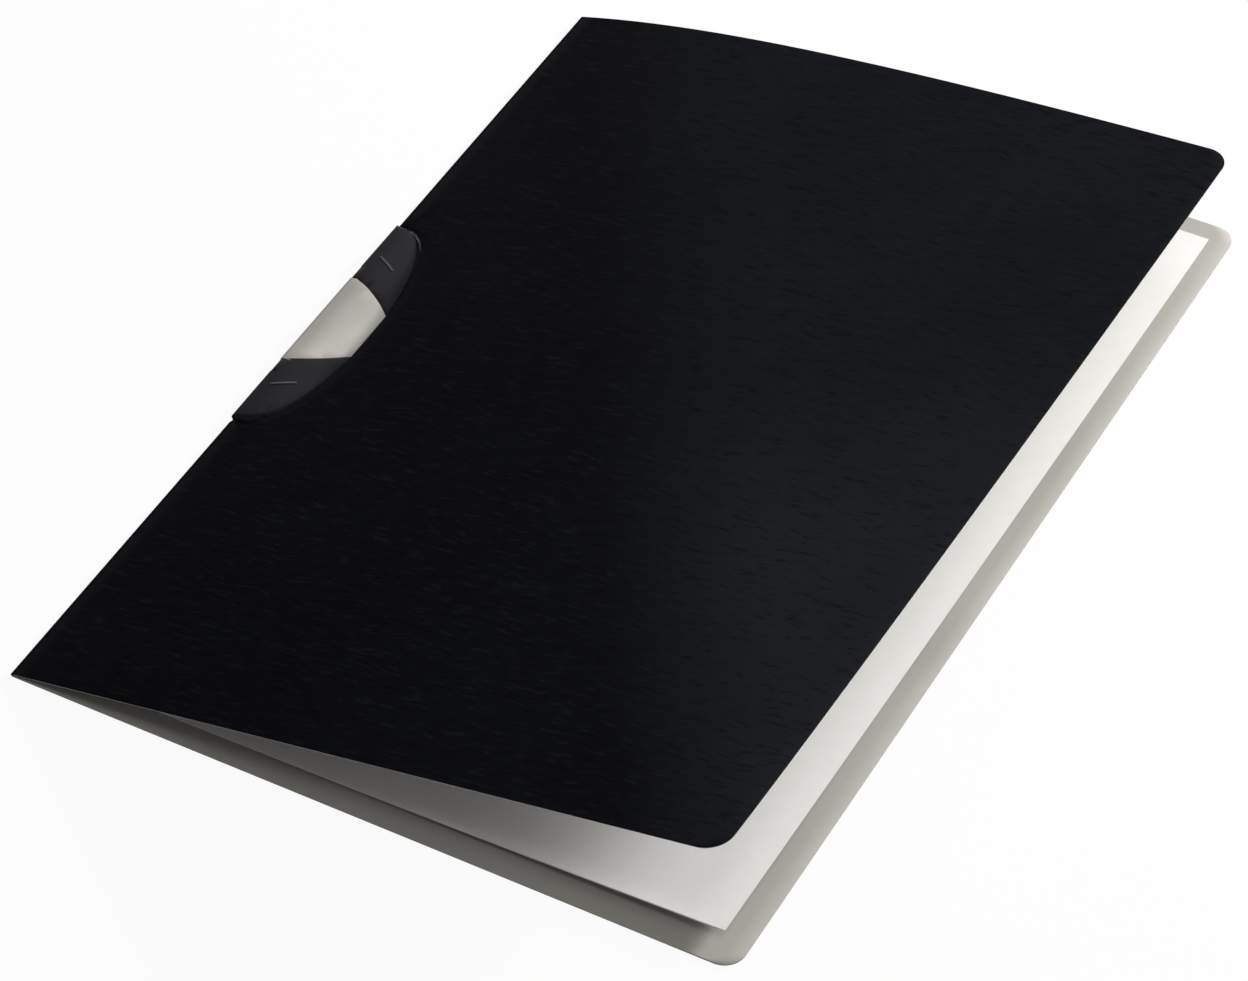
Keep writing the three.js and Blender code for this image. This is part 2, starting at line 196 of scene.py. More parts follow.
# %% World, floor and lamps
WHITE = (1.0, 1.0, 1.0, 1.0)
SKY_COLOUR = (1.0, 0.985, 0.975, 1.0)
SKY_LIGHT = 0.27
SKY_DIM_SIDE = (-0.85, -0.53, 0.0)
SKY_BRIGHT_SHARE, SKY_DIM_SHARE = 1.5, 0.1
FLOOR_SIZE = 6.0
FLOOR_COLOUR = (0.92, 0.92, 0.92, 1.0)
FLOOR_OWN_WHITE = 0.93
FLOOR_DROP = 0.15 * MM
LAMPS = {
    "window_lamp": {
        "place": (0.86, 1.56, 0.60), "aim": (0.05, 0.0, 0.0),
        "width": 0.6, "height": 0.36, "watts": 58.5, "colour": (1.0, 0.99, 0.965),
    },
    "near_lamp": {
        "place": (0.45, -0.43, 1.2), "aim": (0.05, -0.15, 0.0),
        "width": 0.36, "height": 0.3, "watts": 2.4, "colour": (1.0, 0.99, 0.985),
    },
    "band_lamp": {
        "place": (-0.62, 0.95, 0.95), "aim": (0.1, 0.0, 0.0),
        "width": 0.5, "height": 0.5, "watts": 3.0, "colour": (0.95, 0.98, 1.0),
    },
}


def sees_background(tree):
    path = add_node(tree, "ShaderNodeLightPath")
    camera_ray = Quantity(tree, path.outputs["Is Camera Ray"])
    mirror_ray = Quantity(tree, path.outputs["Is Glossy Ray"])
    glass_ray = Quantity(tree, path.outputs["Is Transmission Ray"])
    return camera_ray.math("MAXIMUM", mirror_ray).math("MAXIMUM", glass_ray)


def sky_strength(tree):
    side = add_node(tree, "ShaderNodeVectorMath", operation="DOT_PRODUCT")
    tree.links.new(add_node(tree, "ShaderNodeTexCoord").outputs["Generated"], side.inputs[0])
    side.inputs[1].default_value = SKY_DIM_SIDE
    share = add_node(tree, "ShaderNodeMapRange")
    tree.links.new(side.outputs["Value"], share.inputs["Value"])
    share.inputs["From Min"].default_value = -1.0
    share.inputs["To Min"].default_value = SKY_LIGHT * SKY_BRIGHT_SHARE
    share.inputs["To Max"].default_value = SKY_LIGHT * SKY_DIM_SHARE
    return share.outputs["Result"]


def mix_with_white(tree, lit, share, white_kind, output_kind):
    """Ends a tree with its lit shader, mixed with a plain white one."""
    white = add_node(tree, white_kind)
    white.inputs["Strength"].default_value = 1.0
    white.inputs["Color"].default_value = WHITE
    mix = add_node(tree, "ShaderNodeMixShader")
    feed(tree, mix.inputs[0], share)
    tree.links.new(lit.outputs[0], mix.inputs[1])
    tree.links.new(white.outputs[0], mix.inputs[2])
    output = add_node(tree, output_kind)
    tree.links.new(mix.outputs[0], output.inputs["Surface"])


def make_world():
    world = bpy.data.worlds.new("studio_sky")
    world.use_nodes = True
    tree = world.node_tree
    tree.nodes.clear()
    lit = add_node(tree, "ShaderNodeBackground")
    lit.inputs["Color"].default_value = SKY_COLOUR
    feed(tree, lit.inputs["Strength"], sky_strength(tree))
    mix_with_white(tree, lit, sees_background(tree), "ShaderNodeBackground", "ShaderNodeOutputWorld")
    bpy.context.scene.world = world


def make_floor():
    mesh = bpy.data.meshes.new("white_table")
    half = FLOOR_SIZE / 2
    corners = [(x, y, -FLOOR_DROP)
               for x, y in ((-half, -half), (half, -half), (half, half), (-half, half))]
    mesh.from_pydata(corners, [], [(0, 1, 2, 3)])
    floor = add_object("white_table", mesh)
    material = bpy.data.materials.new("white_table")
    material.use_nodes = True
    tree = material.node_tree
    tree.nodes.clear()
    diffuse = add_node(tree, "ShaderNodeBsdfDiffuse")
    diffuse.inputs["Color"].default_value = FLOOR_COLOUR
    share = sees_background(tree) * FLOOR_OWN_WHITE
    mix_with_white(tree, diffuse, share, "ShaderNodeEmission", "ShaderNodeOutputMaterial")
    mesh.materials.append(material)


def make_lamp(name, place, aim, width, height, watts, colour):
    data = bpy.data.lights.new(name, "AREA")
    data.shape = "RECTANGLE"
    data.size = width
    data.size_y = height
    data.energy = watts
    data.color = colour
    lamp = add_object(name, data)
    lamp.location = place
    lamp.rotation_mode = "QUATERNION"
    lamp.rotation_quaternion = (Vector(aim) - Vector(place)).to_track_quat("-Z", "Y")
    return lamp


make_world()
make_floor()
lamps = [make_lamp(name, **settings) for name, settings in LAMPS.items()]
print("lamps:", ", ".join(f"{lamp.name} {lamp.data.energy:g} W" for lamp in lamps))

# %% [markdown]
# ## Effects that several finishes share
# Three effects return on several pieces. Brushed streaks are long thin patches of noise, made by
# squeezing the coordinates across the brushing and bending them a little, as a brush never runs quite
# straight. Fine mould grain is a small even noise, and handling wear is a broad, soft one. Each is a
# node group with named inputs, so that every material can use it at its own scale. A group hands out
# only masks and heights: the shader that turns them into colour, gloss and bump stays in the
# material.

# %% Shared effect groups
FLOAT, VECTOR = "NodeSocketFloat", "NodeSocketVector"


def begin_group(name, inputs, outputs):
    tree = bpy.data.node_groups.new(name, "ShaderNodeTree")
    for label, kind, value in inputs:
        socket = tree.interface.new_socket(label, in_out="INPUT", socket_type=kind)
        if value is not None:
            socket.default_value = value
    for label in outputs:
        tree.interface.new_socket(label, in_out="OUTPUT", socket_type=FLOAT)
    entry = add_node(tree, "NodeGroupInput")
    leave = add_node(tree, "NodeGroupOutput")
    return tree, entry, leave


def noise(tree, vector, scale, detail, roughness=0.5):
    node = add_node(tree, "ShaderNodeTexNoise", noise_dimensions="3D")
    feed(tree, node.inputs["Vector"], vector)
    feed(tree, node.inputs["Scale"], scale)
    node.inputs["Detail"].default_value = detail
    node.inputs["Roughness"].default_value = roughness
    return Quantity(tree, node.outputs["Fac"])


def remap(tree, value, low, high, first=0.0, last=1.0):
    node = add_node(tree, "ShaderNodeMapRange", interpolation_type="SMOOTHSTEP")
    feed(tree, node.inputs["Value"], value)
    node.inputs["From Min"].default_value = low
    node.inputs["From Max"].default_value = high
    node.inputs["To Min"].default_value = first
    node.inputs["To Max"].default_value = last
    return Quantity(tree, node.outputs["Result"])


SWAY_SCALE, SWAY_REACH = 55.0, 4.0
COARSE_SEED, FINE_SEED = 3.7, 11.3
FINE_LENGTH, FINE_PITCH, FINE_SHARE = 0.55, 0.45, 0.4
STROKE_ROUGHNESS = 0.55
DARK_STROKE_RANGE = (0.47, 0.36)
LIGHT_STROKE_RANGE = (0.53, 0.66)
CLOUD_RANGE = (0.3, 0.7)


def make_streak_group():
    tree, entry, leave = begin_group("brushed_streaks", [
        ("Vector", VECTOR, None),
        ("Streak Length", FLOAT, 8.0 * MM),
        ("Streak Pitch", FLOAT, 1.0 * MM),
        ("Wander", FLOAT, 1.0 * MM),
    ], ["Dark Strokes", "Light Strokes", "Height"])
    parts = add_node(tree, "ShaderNodeSeparateXYZ")
    tree.links.new(entry.outputs["Vector"], parts.inputs[0])
    along = Quantity(tree, parts.outputs["X"])
    across = Quantity(tree, parts.outputs["Y"])
    length = Quantity(tree, entry.outputs["Streak Length"])
    pitch = Quantity(tree, entry.outputs["Streak Pitch"])
    wander = Quantity(tree, entry.outputs["Wander"])
    sway = noise(tree, entry.outputs["Vector"], SWAY_SCALE, 1.0)
    swayed = across + (sway - 0.5) * wander * SWAY_REACH

    def strokes(stretch, narrow, seed):
        squeezed = add_node(tree, "ShaderNodeCombineXYZ")
        feed(tree, squeezed.inputs["X"], along / (length * stretch))
        feed(tree, squeezed.inputs["Y"], swayed / (pitch * narrow))
        squeezed.inputs["Z"].default_value = seed
        return noise(tree, squeezed.outputs[0], 1.0, 2.0, STROKE_ROUGHNESS)

    coarse = strokes(1.0, 1.0, COARSE_SEED)
    fine = strokes(FINE_LENGTH, FINE_PITCH, FINE_SEED)
    both = coarse * (1 - FINE_SHARE) + fine * FINE_SHARE
    feed(tree, leave.inputs["Dark Strokes"], remap(tree, both, *DARK_STROKE_RANGE))
    feed(tree, leave.inputs["Light Strokes"], remap(tree, both, *LIGHT_STROKE_RANGE))
    feed(tree, leave.inputs["Height"], both)
    return tree


def make_grain_group():
    tree, entry, leave = begin_group("mould_grain", [
        ("Vector", VECTOR, None),
        ("Grain Size", FLOAT, 0.4 * MM),
        ("Cloud Size", FLOAT, 30.0 * MM),
    ], ["Grain", "Clouds"])
    grain_size = Quantity(tree, entry.outputs["Grain Size"])
    cloud_size = Quantity(tree, entry.outputs["Cloud Size"])
    grain = noise(tree, entry.outputs["Vector"], grain_size ** -1.0, 2.0)
    clouds = noise(tree, entry.outputs["Vector"], cloud_size ** -1.0, 2.0)
    feed(tree, leave.inputs["Grain"], grain)
    feed(tree, leave.inputs["Clouds"], remap(tree, clouds, *CLOUD_RANGE))
    return tree


STREAKS = make_streak_group()
GRAIN = make_grain_group()
print("effect groups:", STREAKS.name, "and", GRAIN.name)

# %% [markdown]
# ## The finishes
# Each finish starts from one helper that makes a material with a Principled shader. What is the same
# all over a surface, such as its gloss, is set on the shader itself. What varies, such as the strokes
# of the brushed black, comes from an effect group by way of a mix of two colours.

# %% Helpers for finishes
class Finish:
    """A material with one Principled shader, and the few links that every finish here needs."""

    def __init__(self, name, roughness=0.5, specular=0.5, metallic=0.0):
        self.material = bpy.data.materials.new(name)
        self.material.use_nodes = True
        self.tree = self.material.node_tree
        self.tree.nodes.clear()
        self.shader = add_node(self.tree, "ShaderNodeBsdfPrincipled")
        self.shader.inputs["Roughness"].default_value = roughness
        self.shader.inputs["Specular IOR Level"].default_value = specular
        self.shader.inputs["Metallic"].default_value = metallic
        output = add_node(self.tree, "ShaderNodeOutputMaterial")
        self.tree.links.new(self.shader.outputs[0], output.inputs["Surface"])
        self.place = add_node(self.tree, "ShaderNodeTexCoord").outputs["Object"]

    def effect(self, group, **sizes):
        node = add_node(self.tree, "ShaderNodeGroup", node_tree=group)
        self.tree.links.new(self.place, node.inputs["Vector"])
        for label, value in sizes.items():
            node.inputs[label.replace("_", " ")].default_value = value
        return {output.name: Quantity(self.tree, output) for output in node.outputs}

    def blend(self, pair, share):
        """A colour between two plain ones, given as red, green and blue."""
        return self.mix((*pair[0], 1.0), (*pair[1], 1.0), share)

    def mix(self, first, second, share):
        node = add_node(self.tree, "ShaderNodeMix", data_type="RGBA")
        feed(self.tree, node.inputs["Factor"], share)
        feed(self.tree, node.inputs[6], first)
        feed(self.tree, node.inputs[7], second)
        return node.outputs[2]

    def colour(self, value):
        feed(self.tree, self.shader.inputs["Base Color"], value)

    def vary_roughness(self, mask, least, most):
        feed(self.tree, self.shader.inputs["Roughness"], mask * (most - least) + least)

    def relief(self, height, depth):
        bump = add_node(self.tree, "ShaderNodeBump")
        bump.inputs["Distance"].default_value = depth
        feed(self.tree, bump.inputs["Height"], height)
        self.tree.links.new(bump.outputs[0], self.shader.inputs["Normal"])


# %% [markdown]
# ### Brushed black, the outside of the cover
# The cover's outside is a satin black with a breath of blue. Short dark and light strokes run across
# its width, as on brushed metal, but pressed in plastic and therefore faint. They change the colour a
# little and the height by hundredths of a millimetre, which makes the broad reflection shimmer.
# The free half is painted a little paler, and the near corner palest: a painted sheen that stands in
# for the soft reflection of light on the satin black.

# %% Cover outside
DEEP_BLACKS = ((0.0015, 0.0017, 0.0029), (0.0022, 0.0025, 0.0039))
# Paler copies of the black, for a painted sheen.
SHEEN_PAINTED_BLACKS = ((0.0055, 0.0061, 0.0080), (0.0069, 0.0076, 0.0097))
STRONGEST_SHEEN_PAINTED_BLACKS = ((0.0104, 0.0115, 0.0144), (0.0122, 0.0134, 0.0166))
DARK_STROKE, DARK_STROKE_SHARE = (0.0003, 0.0003, 0.0008, 1.0), 0.5
LIGHT_STROKE, LIGHT_STROKE_SHARE = (0.0120, 0.0128, 0.0150, 1.0), 0.4
# Where the painted sheen lies: paler towards the free half, palest at the near corner.
PAINTED_SHEEN_ON_FREE_HALF = ((0.86, 0.51, 0.0), -18.0 * MM, 40.0 * MM)
PAINTED_SHEEN_AT_NEAR_CORNER = ((0.35, -0.94, 0.0), -45.0 * MM, 90.0 * MM)


def painted_light_towards(finish, region):
    """A mask for painted light, which rises from 0 to 1 as a place lies further along a direction."""
    direction, start, end = region
    reach = add_node(finish.tree, "ShaderNodeVectorMath", operation="DOT_PRODUCT")
    finish.tree.links.new(finish.place, reach.inputs[0])
    reach.inputs[1].default_value = direction
    return remap(finish.tree, Quantity(finish.tree, reach.outputs["Value"]), start, end)


def make_cover_outside():
    finish = Finish("brushed_black", specular=0.008)
    strokes = finish.effect(STREAKS, Streak_Length=6.0 * MM, Streak_Pitch=1.15 * MM, Wander=1.3 * MM)
    mottle = finish.effect(GRAIN, Grain_Size=0.5 * MM, Cloud_Size=45.0 * MM)
    sheen_half = painted_light_towards(finish, PAINTED_SHEEN_ON_FREE_HALF)
    sheen_corner = painted_light_towards(finish, PAINTED_SHEEN_AT_NEAR_CORNER) * sheen_half
    deep = finish.blend(DEEP_BLACKS, mottle["Clouds"])
    pale = finish.blend(SHEEN_PAINTED_BLACKS, mottle["Clouds"])
    paler = finish.blend(STRONGEST_SHEEN_PAINTED_BLACKS, mottle["Clouds"])
    # Painted sheen: the black is painted paler towards the free half and palest at the near corner.
    base = finish.mix(finish.mix(deep, pale, sheen_half), paler, sheen_corner)
    darker = finish.mix(base, DARK_STROKE, strokes["Dark Strokes"] * DARK_STROKE_SHARE)
    finish.colour(finish.mix(darker, LIGHT_STROKE, strokes["Light Strokes"] * LIGHT_STROKE_SHARE))
    finish.vary_roughness(strokes["Height"], 0.38, 0.54)
    finish.relief(strokes["Height"], 0.05 * MM)
    return finish.material


COVER_OUTSIDE = make_cover_outside()
print(COVER_OUTSIDE.name, "has", len(COVER_OUTSIDE.node_tree.nodes), "nodes")

# %% [markdown]
# ### Warm grey, the inside of the cover
# The inside is the same plastic in a light warm grey, moulded against a smooth roller. It has almost no
# texture: a fine grain, and slow clouds where the plastic was handled.

# %% Cover inside
WARM_GREYS = ((0.406, 0.393, 0.369), (0.447, 0.434, 0.408))


def make_cover_inside():
    finish = Finish("warm_grey_inside", specular=0.1)
    mottle = finish.effect(GRAIN, Grain_Size=0.35 * MM, Cloud_Size=60.0 * MM)
    finish.colour(finish.blend(WARM_GREYS, mottle["Clouds"]))
    finish.vary_roughness(mottle["Grain"], 0.43, 0.53)
    finish.relief(mottle["Grain"], 0.012 * MM)
    return finish.material


COVER_INSIDE = make_cover_inside()
print(COVER_INSIDE.name, "has", len(COVER_INSIDE.node_tree.nodes), "nodes")

# %% [markdown]
# ### Paper
# Office paper is bright, matt and a little uneven: its fibres cloud over millimetres, and its surface
# is rough at tenths of a millimetre.

# %% Paper
PAPER_WHITES = ((0.834, 0.834, 0.825), (0.85, 0.85, 0.842))


def make_paper():
    finish = Finish("office_paper", specular=0.1)
    mottle = finish.effect(GRAIN, Grain_Size=0.3 * MM, Cloud_Size=5.0 * MM)
    finish.colour(finish.blend(PAPER_WHITES, mottle["Clouds"]))
    finish.vary_roughness(mottle["Grain"], 0.86, 0.94)
    finish.relief(mottle["Grain"], 0.02 * MM)
    return finish.material


PAPER = make_paper()
print(PAPER.name, "has", len(PAPER.node_tree.nodes), "nodes")

# %% [markdown]
# ### The clip's plastics and its pin
# The clip is moulded in a smooth dark grey, a shade lighter than the cover, and its centre is the
# same plastic under a silver lacquer. Two low ribs on the wing, where fingers push, are painted paler:
# a painted highlight along the ribs. The lacquer has a fine sparkle and is rough enough to look like
# satin, and it is painted brighter away from the fold: painted light and shade across the cap. The pin
# is plain drawn steel wire, with lines along its length.

# %% Clip finishes
DARK_GREYS = ((0.0135, 0.0129, 0.0164), (0.0167, 0.0161, 0.0199))


def make_dark_plastic():
    finish = Finish("dark_grey_plastic", specular=0.03)
    mottle = finish.effect(GRAIN, Grain_Size=0.25 * MM, Cloud_Size=12.0 * MM)
    finish.colour(finish.blend(DARK_GREYS, mottle["Clouds"]))
    finish.vary_roughness(mottle["Grain"], 0.28, 0.40)
    finish.relief(mottle["Grain"], 0.008 * MM)
    return finish.material


# A paler grey for the rib tops: a painted highlight along the ribs.
RIB_HIGHLIGHT_GREYS = ((0.035, 0.034, 0.039), (0.075, 0.073, 0.079))


def make_rib_highlight_plastic():
    finish = Finish("rib_highlight_plastic", roughness=0.3, specular=0.1)
    mottle = finish.effect(GRAIN, Grain_Size=0.3 * MM, Cloud_Size=3.0 * MM)
    finish.colour(finish.blend(RIB_HIGHLIGHT_GREYS, mottle["Clouds"]))
    finish.relief(mottle["Grain"], 0.008 * MM)
    return finish.material


# Shaded and lit copies of the silver, for painted light and shade across the cap.
PAINTED_SHADE_SILVERS = ((0.275, 0.262, 0.240), (0.345, 0.331, 0.306))
PAINTED_LIGHT_SILVERS = ((0.400, 0.382, 0.350), (0.510, 0.491, 0.457))
CAP_PAINTED_LIGHT_SIDE = ((0.95, -0.31, 0.0), -107.0 * MM, -82.0 * MM)


def make_silver_lacquer():
    finish = Finish("silver_lacquer", specular=0.2, metallic=0.25)
    mottle = finish.effect(GRAIN, Grain_Size=0.12 * MM, Cloud_Size=9.0 * MM)
    dull = finish.blend(PAINTED_SHADE_SILVERS, mottle["Grain"])
    bright = finish.blend(PAINTED_LIGHT_SILVERS, mottle["Grain"])
    # Painted light and shade: the silver is painted brighter away from the fold.
    finish.colour(finish.mix(dull, bright, painted_light_towards(finish, CAP_PAINTED_LIGHT_SIDE)))
    finish.vary_roughness(mottle["Clouds"], 0.42, 0.48)
    finish.relief(mottle["Grain"], 0.006 * MM)
    return finish.material


STEEL_GREYS = ((0.5, 0.5, 0.51), (0.62, 0.62, 0.63))


def make_drawn_steel():
    finish = Finish("drawn_steel", metallic=1.0)
    lines = finish.effect(STREAKS, Streak_Length=0.2 * MM, Streak_Pitch=6.0 * MM, Wander=0.05 * MM)
    finish.colour(finish.blend(STEEL_GREYS, lines["Height"]))
    finish.vary_roughness(lines["Height"], 0.2, 0.4)
    return finish.material


DARK_PLASTIC = make_dark_plastic()
RIB_HIGHLIGHT_PLASTIC = make_rib_highlight_plastic()
SILVER = make_silver_lacquer()
STEEL = make_drawn_steel()
print("finishes:", ", ".join(material.name for material in bpy.data.materials))

# %% [markdown]
# ## The cover's blank
# The real cover starts as a flat blank, die-cut from plastic sheet: round corners at the free edge,
# and a half-moon at the fold that makes the clip's window, a little fuller at its ends than an
# ellipse. The blank is made flat here too, as a grid whose rows run across the cover. Rows crowd
# together where the outline curves, so corners and window stay smooth, and each row begins and ends
# on the outline. A rim closes the sheet, with its edge rounded a little, since a perfectly sharp edge
# never catches the light. The blank's x is the distance from the hinge line, y runs along the fold
# and z is the height above the inner face.

# %% Flat blanks
WINDOW_HALF_LENGTH = 46.2 * MM
WINDOW_DEPTH = 20.9 * MM
WINDOW_FULLNESS = 2.3
FRONT_CORNER_RADIUS = 7.0 * MM
BACK_CORNER_RADIUS = 6.0 * MM
FRONT_EDGE_SKEW = 1.4 * MM
BLANK_COLUMNS = 48
CORNER_ROWS = 12
WINDOW_ROWS = 48
PLAIN_ROW_SPACING = 6.0 * MM
CREASE_ANGLE = math.radians(25)
OUTSIDE, INSIDE = 0, 1


def finish_mesh(mesh, name, materials=()):
    """Turns a mesh under construction into an object of the scene."""
    data = bpy.data.meshes.new(name)
    mesh.to_mesh(data)
    mesh.free()
    for material in materials:
        data.materials.append(material)
    return add_object(name, data)


def mark_creases(mesh, angle):
    for edge in mesh.edges:
        edge.smooth = edge.calc_face_angle(0.0) < angle


def blank_rows(corner_radius):
    half = COVER_HEIGHT / 2
    turns = [math.pi / 2 * i / CORNER_ROWS for i in range(CORNER_ROWS + 1)]
    bends = [corner_radius * (1 - math.cos(turn)) for turn in turns]
    rows = [inset - half for inset in bends] + [half - inset for inset in bends]
    for i in range(WINDOW_ROWS + 1):
        turn = math.pi * (i / WINDOW_ROWS - 0.5)
        share = abs(math.sin(turn)) ** (2 / WINDOW_FULLNESS)
        rows.append(math.copysign(WINDOW_HALF_LENGTH * share, turn))
    plain = half - corner_radius - WINDOW_HALF_LENGTH
    count = round(plain / PLAIN_ROW_SPACING)
    for i in range(1, count):
        y = half - corner_radius - plain * i / count
        rows += [y, -y]
    return sorted(rows)


def window_reach(y):
    share = min(1.0, abs(y) / WINDOW_HALF_LENGTH)
    return WINDOW_DEPTH * (1 - share ** WINDOW_FULLNESS) ** (1 / WINDOW_FULLNESS) - FOLD_RADIUS


def free_edge(y, corner_radius, skew):
    inside = max(0.0, corner_radius - (COVER_HEIGHT / 2 - abs(y)))
    round_off = corner_radius - math.sqrt(corner_radius ** 2 - inside ** 2)
    return COVER_REACH - FOLD_LINE - FOLD_RADIUS - round_off - skew * 2 * y / COVER_HEIGHT


def outline_normals(loop):
    before = np.roll(loop, 1, axis=0)
    after = np.roll(loop, -1, axis=0)
    along = after - before
    outward = np.stack([along[:, 1], -along[:, 0]], axis=1)
    return outward / np.maximum(np.linalg.norm(outward, axis=1, keepdims=True), TINY)


def make_blank(name, corner_radius, skew):
    rows = blank_rows(corner_radius)
    columns = BLANK_COLUMNS
    grid = np.array([
        [(start + (end - start) * j / columns, y) for j in range(columns + 1)]
        for y, start, end in (
            (y, max(FOLD_RADIUS, window_reach(y)), free_edge(y, corner_radius, skew)) for y in rows
        )
    ])
    last = len(rows) - 1
    ring = ([(0, j) for j in range(columns)] + [(i, columns) for i in range(last)]
            + [(last, j) for j in range(columns, 0, -1)] + [(i, 0) for i in range(last, 0, -1)])
    loop = np.array([grid[i, j] for i, j in ring])
    outward = outline_normals(loop) * CUT_EDGE_ROUNDING
    round_off, thick = CUT_EDGE_ROUNDING, COVER_THICKNESS

    mesh = bmesh.new()
    levels = {}
    for height in (0.0, thick):
        levels[height] = [[mesh.verts.new((*grid[i, j], height)) for j in range(columns + 1)]
                          for i in range(last + 1)]
    for height, side in ((0.0, INSIDE), (thick, OUTSIDE)):
        level = levels[height]
        for i in range(last):
            for j in range(columns):
                corners = [level[i][j], level[i][j + 1], level[i + 1][j + 1], level[i + 1][j]]
                face = mesh.faces.new(corners if side == OUTSIDE else corners[::-1])
                face.material_index = side
                face.smooth = True
    rings = [[levels[0.0][i][j] for i, j in ring]]
    for height in (round_off, thick / 2, thick - round_off):
        rings.append([mesh.verts.new((*place, height)) for place in loop + outward])
    rings.append([levels[thick][i][j] for i, j in ring])
    for k, (lower, upper) in enumerate(zip(rings, rings[1:])):
        for a in range(len(ring)):
            b = (a + 1) % len(ring)
            face = mesh.faces.new((lower[a], lower[b], upper[b], upper[a]))
            face.material_index = INSIDE if k < 2 else OUTSIDE
            face.smooth = True
    mark_creases(mesh, CREASE_ANGLE)
    blank = finish_mesh(mesh, name, (COVER_OUTSIDE, COVER_INSIDE))
    print(name, "blank:", len(blank.data.polygons), "faces,", len(rows), "rows")
    return blank


front_piece = make_blank("front_cover_skin", FRONT_CORNER_RADIUS, FRONT_EDGE_SKEW)
back_piece = make_blank("back_cover_skin", BACK_CORNER_RADIUS, 0.0)

# %% [markdown]
# ## Springing the front cover open
# A folded plastic cover never lies flat: it rises from the fold, and this one is warped as well. Its
# near end rises evenly, and its far end leaves the fold steeply and then flattens out. That is one
# rule for the slope at every distance from the fold, and the shape is the sum of all slopes up to
# there. Geometry Nodes can hold the rule itself: the tree reads each point's distance, works out the
# sum in closed form, and sets the point in place. Modelling the warp by hand would take many guesses,
# and it couldn't be corrected by one number.

# %% Spring-open node tree
NEAR_ANGLE = math.radians(11.3)
FAR_FOLD_ANGLE = math.radians(16.8)
FAR_EDGE_ANGLE = math.radians(2.9)
FLATTENING_LENGTH = 75.0 * MM
WARP_EXPONENT = 0.8


def geometry_tree(name, inputs):
    tree = bpy.data.node_groups.new(name, "GeometryNodeTree")
    tree.interface.new_socket("Geometry", in_out="INPUT", socket_type="NodeSocketGeometry")
    for label, kind in inputs:
        tree.interface.new_socket(label, in_out="INPUT", socket_type=kind)
    tree.interface.new_socket("Geometry", in_out="OUTPUT", socket_type="NodeSocketGeometry")
    return tree, add_node(tree, "NodeGroupInput"), add_node(tree, "NodeGroupOutput")


def spring_tree():
    numbers = ["Near Angle", "Far Fold Angle", "Far Edge Angle", "Flattening Length", "Warp Exponent",
               "Cover Height", "Inside Radius", "Hinge X", "Hinge Z"]
    tree, entry, leave = geometry_tree("spring_open", [
        *((label, FLOAT) for label in numbers),
        ("Outside", "NodeSocketMaterial"), ("Inside", "NodeSocketMaterial"),
    ])
    size = {label: Quantity(tree, entry.outputs[label]) for label in numbers}
    parts = add_node(tree, "ShaderNodeSeparateXYZ")
    tree.links.new(add_node(tree, "GeometryNodeInputPosition").outputs[0], parts.inputs[0])
    distance, along, height = (Quantity(tree, parts.outputs[axis]) for axis in "XYZ")

    warp = (along / size["Cover Height"] + 0.5).math("MAXIMUM", 0.0) ** size["Warp Exponent"]
    at_fold = size["Near Angle"].blend_to(size["Far Fold Angle"], warp)
    at_edge = size["Near Angle"].blend_to(size["Far Edge Angle"], warp)
    drop = at_fold - at_edge
    reach = size["Flattening Length"]
    fade = (distance / reach * -1.0).math("EXPONENT")
    fade_2 = fade * fade
    fade_3 = fade_2 * fade
    gone, gone_2, gone_3 = (power * -1.0 + 1.0 for power in (fade, fade_2, fade_3))

    angle = at_edge + drop * fade
    sum_1 = at_edge * distance + drop * reach * gone
    sum_2 = (at_edge ** 2.0 * distance + at_edge * drop * reach * gone * 2.0
             + drop * drop * reach * gone_2 * 0.5)
    sum_3 = (at_edge ** 3.0 * distance + at_edge * at_edge * drop * reach * gone * 3.0
             + at_edge * drop * drop * reach * gone_2 * 1.5 + drop * drop * drop * reach * gone_3 / 3.0)
    forward = distance - sum_2 * 0.5
    upward = sum_1 - sum_3 / 6.0
    stand_off = size["Inside Radius"] + height
    combine = add_node(tree, "ShaderNodeCombineXYZ")
    feed(tree, combine.inputs["X"], size["Hinge X"] + forward - stand_off * angle.math("SINE"))
    feed(tree, combine.inputs["Y"], along)
    feed(tree, combine.inputs["Z"], size["Hinge Z"] + upward + stand_off * angle.math("COSINE"))

    bend = add_node(tree, "GeometryNodeSetPosition")
    tree.links.new(entry.outputs["Geometry"], bend.inputs["Geometry"])
    tree.links.new(combine.outputs[0], bend.inputs["Position"])
    index = Quantity(tree, add_node(tree, "GeometryNodeInputMaterialIndex").outputs[0])
    realize = add_node(tree, "GeometryNodeRealizeInstances")
    tree.links.new(bend.outputs[0], realize.inputs[0])
    last = realize.outputs[0]
    for label, selected in (("Outside", index.math("LESS_THAN", 0.5)),
                            ("Inside", index.math("GREATER_THAN", 0.5))):
        paint = add_node(tree, "GeometryNodeSetMaterial")
        tree.links.new(last, paint.inputs["Geometry"])
        feed(tree, paint.inputs["Selection"], selected)
        tree.links.new(entry.outputs[label], paint.inputs["Material"])
        last = paint.outputs[0]
    tree.links.new(last, leave.inputs[0])
    return tree


def run_tree(piece, tree, values):
    """Runs a tree on a piece and keeps the result as the piece's own plain mesh."""
    modifier = piece.modifiers.new(tree.name, "NODES")
    modifier.node_group = tree
    for item in tree.interface.items_tree:
        if item.item_type == "SOCKET" and item.in_out == "INPUT" and item.name in values:
            modifier[item.identifier] = values[item.name]
    graph = bpy.context.evaluated_depsgraph_get()
    result = bpy.data.meshes.new_from_object(piece.evaluated_get(graph), depsgraph=graph)
    piece.modifiers.remove(modifier)
    blank = piece.data
    piece.data = result
    result.name = piece.name
    bpy.data.meshes.remove(blank)
    return piece


